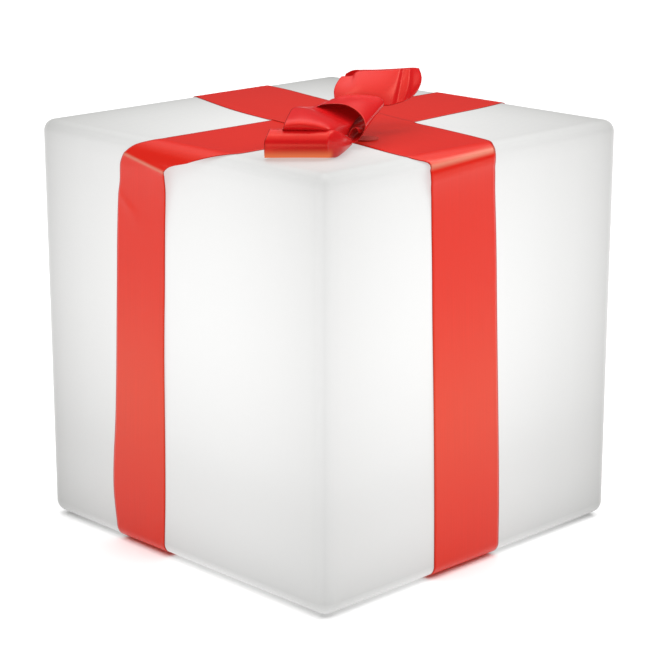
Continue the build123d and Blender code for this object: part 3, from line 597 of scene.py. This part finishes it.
def front_roll_grid():
    """The big rolled loop: a round roll with a flat tail of cloth behind it, drawn to the knot.

    Round the roll the angle runs from the cloth's underside forwards and over the top. Its radius
    and centre shift from share 0 at the left selvage to 1 at the knot. Both layers of the tail run
    back to one line across, at tail_y, and end there at tail_low and tail_high.
    """
    share = np.linspace(0, 1, 61)
    x = smooth_through([0, 0.30, 0.62, 0.72, 0.80, 0.88, 1.0], [-74, -53, -24, -16.5, -10, -5, 1.5], share)
    radius = smooth_through(
        [0, 0.40, 0.70, 0.76, 0.84, 0.92, 1.0], [12.3, 12.2, 12.3, 12.0, 8.4, 5.0, 1.6], share,
    )
    middle_y = smooth_through([0, 0.40, 0.70, 0.84, 1.0], [-44, -43.5, -43, -33, -8], share)
    middle_z = smooth_through([0, 0.40, 0.70, 0.84, 1.0], [14.1, 14.0, 13.8, 11.4, 8.0], share)
    angle = np.radians(np.linspace(-95, -262, 49))
    roll_y = middle_y + radius * np.cos(angle)[:, None]
    roll_z = middle_z + radius * np.sin(angle)[:, None]
    # The front bulges 5 mm to the left near the knot. At the left selvage the lower part stands
    # out by 1.6 mm, the top is set back by 2.8 mm, and the rim waves by 0.35 mm.
    bulge = np.maximum(0, -np.cos(angle))[:, None] * hump(share, 0.76, 0.07)[None, :]
    left_end = (1 - share[None, :]) ** 7
    set_back = 4.4 * np.maximum(0, np.sin(angle))[:, None] ** 2 - 1.6
    roll_x = x[None, :] - 5.0 * bulge + set_back * left_end
    roll_z = roll_z + 0.35 * np.sin(5 * angle)[:, None] * (1 - share)[None, :]
    tail_y, tail_low, tail_high = -3, 4.5, 11
    tail_x = smooth_through([0, 1], [-13, 0.5], share)
    back = np.linspace(0, 1, 18)[1:, None]
    forwards = back[::-1]
    under = np.stack([
        roll_x[0] + (tail_x - roll_x[0]) * forwards ** 1.4,
        roll_y[0] + (tail_y - roll_y[0]) * forwards,
        roll_z[0] + (tail_low - roll_z[0]) * forwards ** 2,
    ], -1)
    over = np.stack([
        roll_x[-1] + (tail_x - roll_x[-1]) * back ** 1.4,
        roll_y[-1] + (tail_y - roll_y[-1]) * back,
        roll_z[-1] + (tail_high - roll_z[-1]) * back ** 1.6,
    ], -1)
    return np.concatenate([under, np.stack([roll_x, roll_y, roll_z], -1), over])


# Upper loop: rows go round the fold from the lower layer, over the ridge and back; columns left to right
upper_net = [
    [(-40, 2, 22), (-30, 3, 20), (-20, 4, 17), (-10, 7, 14), (-1, 12, 13)],
    [(-57, -28, 24.5), (-45, -28, 25.5), (-30, -26, 24), (-15, -18, 19.5), (-1, 10, 11.5)],
    [(-59.5, -44, 26.0), (-45, -45, 26.0), (-30, -44, 25.4), (-14, -36, 21.4), (-1, 9, 11)],
    [(-58.8, -49.5, 29.6), (-45, -50, 31.0), (-30, -49, 29.6), (-14.5, -41, 24.4), (-1, 8, 12.5)],
    [(-57.0, -44, 33.8), (-45, -45, 35.0), (-30, -43, 33.4), (-14, -35, 27.4), (-0.5, 8, 15.5)],
    [(-54.5, -28, 37.0), (-43, -28, 38.0), (-29, -26, 35.6), (-13, -19, 29.4), (0.5, 9, 18.5)],
    [(-51, -9, 39.3), (-40, -9, 39.0), (-27, -7, 35.0), (-12, -2, 28.6), (2, 12, 20)],
    [(-44, 6, 38.2), (-35, 8, 36.4), (-24, 10, 32.0), (-10, 13, 26.5), (4, 17, 22)],
    [(-36, 22, 35), (-26, 25, 35), (-14, 28, 33.5), (-2, 30, 30.5), (9, 30, 25)],
    [(-25, 42, 35.5), (-15, 44, 37.4), (-2, 45, 37.5), (11, 45, 35), (21, 44, 29)],
]


def centre_wrap_grid():
    """The wrap over the bow's middle and the curl of its end: one spiral, carried backwards.

    The front edge runs from the left foot over the arch to the right foot, then curls under to the
    left and up again. Each point of it is carried back and to the right, rising a little on the arch.
    """
    rim = np.array([
        (-33, 6, 3.5), (-37, 12, 18), (-35, 17, 31), (-27, 18, 37.2), (-15, 16, 39.0), (-4, 14, 38.2),
        (5, 12, 33.8), (11.3, 9, 27.5), (13.6, 5, 20.5), (10.5, 1, 12.4), (5.5, -1, 7.2), (0.6, -2, 7.0),
        (-1.8, -1, 11.4), (0.4, 1, 16.8), (3.6, 3, 19.6), (6.6, 4, 18.0), (7.8, 5, 14.4),
    ])
    stations = np.linspace(0, 1, len(rim))
    share = np.linspace(0, 1, 121)
    front = smooth_through(stations, rim, share)
    far = np.array([
        (-12, 58, 2.5), (-17, 58, 16), (-18, 58, 29), (-14, 58, 36.6), (-4, 58, 39.6), (9, 58, 40.2),
        (20, 58, 39.4), (28.5, 57, 37.4), (31.5, 55, 32.0), (24.5, 50, 23.5), (16, 42, 15.5), (9, 34, 10.5),
        (6.5, 30, 11), (7, 27, 14), (9.5, 25, 16.5), (12, 23, 15.5), (13, 22, 12.5),
    ])
    back = smooth_through(stations, far, share)
    depth = np.linspace(0, 1, 31)[:, None, None]
    sheet = front[None] * (1 - depth) + back[None] * depth
    # Half way back the arch stands 1.6 mm higher, in shallow pleats of 0.5 mm
    arch = hump(share, 0.34, 0.16)[None, :] * np.sin(np.pi * depth[..., 0])
    sheet[..., 2] += 1.6 * arch
    pleats = np.sin(38 * share)[None, :] * np.sin(np.pi * depth[..., 0]) * hump(share, 0.42, 0.2)[None, :]
    sheet[..., 2] += 0.5 * pleats
    return sheet


def rear_loop_grid():
    """The loop that stands up behind: a flattened ring of cloth that leans back, carried upwards.

    Round the ring the path runs along the front layer from left to right, turns at the right end,
    comes back along the rear layer and turns again at the left. Up the cloth it moves from the
    bottom selvage to the top one.
    """
    ring_low = np.array([
        (-14, 66, 36), (-4, 62, 36), (10, 61, 33), (24, 63, 29.5), (38, 70, 28.5), (49, 80, 30.0),
        (58, 90, 32.5), (64.5, 101, 37.5), (62, 110, 37), (46, 112, 34), (26, 108, 33), (8, 102, 34),
        (-6, 92, 35), (-12.5, 78, 35),
    ])
    ring_high = np.array([
        (-7.5, 88, 52.8), (2.5, 90, 53.2), (9, 92, 57.2), (32, 95, 57.6), (46, 98, 58), (55, 103, 57.5),
        (62, 111, 57), (66, 119, 55.8), (60, 124, 55.6), (44, 123, 54.8), (26, 120, 54.4), (12, 115, 55),
        (4, 106, 56), (-3, 95, 54.5),
    ])
    stations = np.linspace(0, 1, len(ring_low))
    share = np.linspace(0, 1, 131)
    low = smooth_through(stations, ring_low, share)
    high = smooth_through(stations, ring_high, share)
    up = np.linspace(0, 1, 33)[:, None, None]
    sheet = low[None] * (1 - up) + high[None] * up
    # Half way up, the front layer bellies out by 5 mm, the left end by 3 mm and the right end by 3.5 mm
    belly = np.sin(np.pi * up[..., 0])
    sheet[..., 1] -= 5.0 * belly * hump(share, 0.16, 0.16)[None, :]
    sheet[..., 0] -= 3.0 * belly * hump(share, 0.0, 0.08)[None, :]
    sheet[..., 0] += 3.5 * belly * hump(share, 0.50, 0.10)[None, :]
    # Before the right end the front layer has a crease in and a ridge out, deepest at the top selvage
    crease = 3.2 * hump(share, 0.345, 0.018)[None, :] - 2.4 * hump(share, 0.40, 0.020)[None, :]
    sheet[..., 1] += crease * (0.35 + 0.65 * up[..., 0])
    return sheet


def core_grid():
    """The gathered middle inside the wrap: a bundle of pleats, a wavy oval carried from neck to neck."""
    angle = np.linspace(0, 2 * math.pi, 97)
    depth = np.linspace(0, 1, 41)[:, None]
    # Nine pleats that wander a little sideways, 6% of the oval's size high
    pleat = 1 + 0.06 * np.sin(9 * angle + 1.5 * np.sin(3 * depth))
    x = -24 + 31 * depth + 8.6 * pleat * np.cos(angle)
    z = 17.3 + 10.6 * pleat * np.sin(angle)
    y = 2.0 + 55.4 * depth + 0 * angle
    return np.stack([x, y, z], -1)


def tie_grid():
    """The wire round the gathered neck: one even oval section carried round an upright oval ring."""
    half_thick, half_wide = 0.5, 0.6
    middle_x, middle_y, middle_z = -7.5, -1.6, 7.6
    reach_x, reach_z = 7.5, 4.6
    turn = np.linspace(0, 2 * math.pi, 73)
    section = np.linspace(0, 2 * math.pi, 17)
    out = half_thick * np.cos(section)[None, :]
    x = middle_x + (reach_x + out) * np.cos(turn)[:, None]
    z = middle_z + (reach_z + out) * np.sin(turn)[:, None]
    y = middle_y + half_wide * np.sin(section)[None, :] + 0 * x
    return np.stack([x, y, z], -1)


def make_bow(material, roll_material, inner_material):
    """The bow: front roll, upper loop, centre wrap with its curl, rear loop, gathered core and tie."""
    front = sheet_mesh("front_roll_satin", on_bow(front_roll_grid()), roll_material)
    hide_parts("bow_front_loop")
    upper = sheet_mesh("upper_loop_satin", on_bow(spline_net(upper_net, 73, 61)), material)
    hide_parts("bow_upper_loop")
    centre = sheet_mesh("centre_wrap_satin", on_bow(centre_wrap_grid()).transpose(1, 0, 2), material)
    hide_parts("bow_centre_band", "bow_knot")
    rear = sheet_mesh("rear_loop_satin", on_bow(rear_loop_grid()).transpose(1, 0, 2), material)
    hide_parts("bow_rear_loop")
    core = sheet_mesh("bow_core_satin", on_bow(core_grid()), inner_material)
    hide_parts("bow_core")
    # Lacquered steel wire: red, smooth and glossy
    wire = moulded("red_lacquered_wire", "#B01218", 0.4, 1.0, 0.1, coat=0.4)
    ring, _ = grid_piece("tie_ring", on_bow(tie_grid()), wire)
    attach(ring, "box")
    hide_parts("bow_tie_wire")


def moulded(name, colour, roughness, grain_mm, strength, metallic=0.0, coat=0.0):
    """A plain moulded, painted or metal surface with a fine grain of one real size."""
    material, tree, out = blank_material(name)
    place = add(tree, "ShaderNodeTexCoord").outputs["Object"]
    grain = add(tree, "ShaderNodeTexNoise", {"Vector": place, "Scale": 1000.0 / grain_mm, "Detail": 4.0})
    tint = add(tree, "ShaderNodeMix", {
        "Factor": grain, first_colour: linear(colour, 0.9), second_colour: linear(colour, 1.1),
    }, data_type="RGBA")
    shader = add(tree, "ShaderNodeBsdfPrincipled", {
        "Base Color": tint.outputs[mixed_colour],
        "Normal": add(tree, "ShaderNodeBump", {"Height": grain, "Strength": strength, "Distance": 0.0002}),
        "Roughness": roughness, "Metallic": metallic, "Coat Weight": coat,
    })
    tree.links.new(shader.outputs[0], out.inputs["Surface"])
    return material


def dress_hardware():
    """Gives each CAD node that shows its own finish."""
    finishes = [
        # double-sided acrylic tape: milky, soft
        (moulded("acrylic_tape", "#E4E2DC", 0.5, 1.2, 0.1), ["ribbon_tapes"]),
        # closed-cell polyethylene foam: chalky with fine cells, coloured the dark red of the band under the
        # bow as painted shade
        (moulded("polyethylene_foam", "#B4342A", 0.9, 0.7, 0.5), ["bow_pad"]),
        # cast rubber feet: grey, slightly tacky sheen
        (moulded("cast_rubber", "#B9B8B4", 0.6, 1.0, 0.2),
         ["foot_front_left", "foot_front_right", "foot_rear_left", "foot_rear_right"]),
        # moulded ABS with a spark texture
        (moulded("textured_abs", "#DAD9D5", 0.45, 0.6, 0.3), ["module_housing"]),
        # silicone seal: matt and faintly dusty
        (moulded("moulded_silicone", "#CFCEC8", 0.7, 1.5, 0.1), ["module_gasket"]),
        # stainless steel, turned and stamped: fine bright grain
        (moulded("stainless_steel", "#C6C7C9", 0.3, 0.5, 0.15, metallic=1.0),
         ["flange_screws", "spreader_screws", "battery_strap", "charge_socket", "flap_pin"]),
        # turned brass: warm and satin
        (moulded("turned_brass", "#D8B468", 0.3, 0.5, 0.15, metallic=1.0), ["thread_inserts"]),
        # stamped aluminium: pale with a rolled grain
        (moulded("stamped_aluminium", "#D6D8DA", 0.4, 0.8, 0.2, metallic=1.0), ["heat_spreader"]),
        # white solder mask on glass fibre: smooth
        (moulded("white_solder_mask", "#ECECE8", 0.35, 1.0, 0.05, coat=0.3), ["led_board"]),
        # phosphor-filled silicone over the light sources: warm yellow
        (moulded("phosphor_silicone", "#F0DC8A", 0.3, 0.8, 0.05, coat=0.4), ["leds"]),
        # frosted polycarbonate: cloudy
        (moulded("frosted_polycarbonate", "#EDEDEB", 0.55, 0.8, 0.1), ["diffuser_dome"]),
        # black moulded polyamide
        (moulded("black_polyamide", "#2A2B2E", 0.5, 0.6, 0.2),
         ["battery_tray", "vent_plug", "receiver_module", "tact_switch", "switch_plunger"]),
        # shrink film over the cells: glossy blue
        (moulded("shrink_film", "#2C5DA8", 0.25, 3.0, 0.05, coat=0.5), ["battery_cells"]),
        # green solder mask on glass fibre
        (moulded("green_solder_mask", "#1E5B37", 0.35, 0.8, 0.05, coat=0.4), ["control_board"]),
        # grey silicone rubber for what a finger touches
        (moulded("grey_silicone_rubber", "#8A8C90", 0.6, 0.7, 0.25), ["power_button", "charge_flap"]),
        # clear polycarbonate light pipe
        (moulded("polished_polycarbonate", "#DDE6DD", 0.08, 2.0, 0.02, coat=1.0), ["indicator_lens"]),
        # PVC insulation
        (moulded("extruded_pvc", "#A8201C", 0.4, 1.0, 0.05), ["led_leads", "battery_leads"]),
    ]
    for material, nodes in finishes:
        for name in nodes:
            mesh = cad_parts[name].data
            mesh.materials.clear()
            mesh.materials.append(material)


def make_floor():
    """A pale floor with no edge in view."""
    # Half its side in metres
    reach = 30.0
    corners = [(-reach, -reach, 0), (reach, -reach, 0), (reach, reach, 0), (-reach, reach, 0)]
    mesh = bpy.data.meshes.new("floor")
    mesh.from_pydata(corners, [], [(0, 1, 2, 3)])
    floor = bpy.data.objects.new("floor", mesh)
    bpy.context.scene.collection.objects.link(floor)
    # Matt white paper, without any shine
    material, tree, out = blank_material("studio_paper")
    shader = add(tree, "ShaderNodeBsdfDiffuse", {"Color": linear("#FFFFFF")})
    tree.links.new(shader.outputs[0], out.inputs["Surface"])
    mesh.materials.append(material)


def area_light(name, place, size, power):
    """A soft square light that faces the bow."""
    data = bpy.data.lights.new(name, "AREA")
    data.size = size
    data.energy = power
    lamp = bpy.data.objects.new(name, data)
    lamp.location = place
    away = np.asarray(place, float) - np.asarray(lamp_target, float)
    flat = math.hypot(away[0], away[1])
    lamp.rotation_euler = (math.atan2(flat, away[2]), 0, math.atan2(away[0], -away[1]))
    bpy.context.scene.collection.objects.link(lamp)


def make_light():
    """A dim surround that turns bright overhead, and soft lamps for the satin's highlights."""
    world = bpy.data.worlds.new("studio")
    bpy.context.scene.world = world
    world.use_nodes = True
    tree = world.node_tree
    direction = add(tree, "ShaderNodeTexCoord").outputs["Generated"]
    height = add(tree, "ShaderNodeSeparateXYZ", {"Vector": direction}).outputs["Z"]
    level = add(tree, "ShaderNodeMapRange", {
        "Value": height, "From Min": overhead_from, "From Max": overhead_full,
        "To Min": surround_level, "To Max": overhead_level,
    }, interpolation_type="SMOOTHSTEP")
    background = tree.nodes["Background"]
    background.inputs["Color"].default_value = linear("#FFFFFF")
    tree.links.new(level.outputs["Result"], background.inputs["Strength"])
    for name, place, side, power in lamps:
        area_light(name, place, side, power)
    bpy.context.scene.view_settings.view_transform = "Standard"


def make_camera():
    """The camera at the photograph's viewing angle."""
    data = bpy.data.cameras.new("camera")
    data.lens = camera_focal
    data.sensor_width = 36
    data.clip_end = 100
    camera = bpy.data.objects.new("camera", data)
    camera.location = metres(camera_place).tolist()
    camera.rotation_euler = (math.pi / 2 - camera_pitch, 0, camera_azimuth)
    bpy.context.scene.collection.objects.link(camera)
    bpy.context.scene.camera = camera


make_camera()
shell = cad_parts["cube_shell"].data
shell.materials.clear()
shell.materials.append(lit_polyethylene())
dress_hardware()
# The bands lie on the lit shell, and its light through them is painted on as emission, most level with
# the lamp. The bow stands off the shell and its painted glow is faint, the cloth inside it fainter, and
# the roll's underside is painted as lit from below.
band_cloth = {"colour": "#B61810", "glow_colour": "#EE301C", "glow_level": 0.20, "lamp_colour": "#FF8C64"}
bow_cloth = {"colour": "#BC1216", "glow_colour": "#E02A20", "glow_level": 0.05}
side_satin = satin("backlit_side_satin", fold=side_fold_highlight, **band_cloth)
front_satin = satin("backlit_front_satin", fold=front_fold_highlight, **band_cloth)
bow_satin = satin("bow_satin", **bow_cloth)
# The cloth inside the bow: the bow's satin painted darker, as painted shade, and glowing less
inner_satin = satin("shaded_satin", "#8C0A10", "#C01018", 0.02)
roll_satin = satin("roll_satin", lit_underside=True, **bow_cloth)
make_bands(side_satin, front_satin)
make_bow(bow_satin, roll_satin, inner_satin)
make_floor()
make_light()
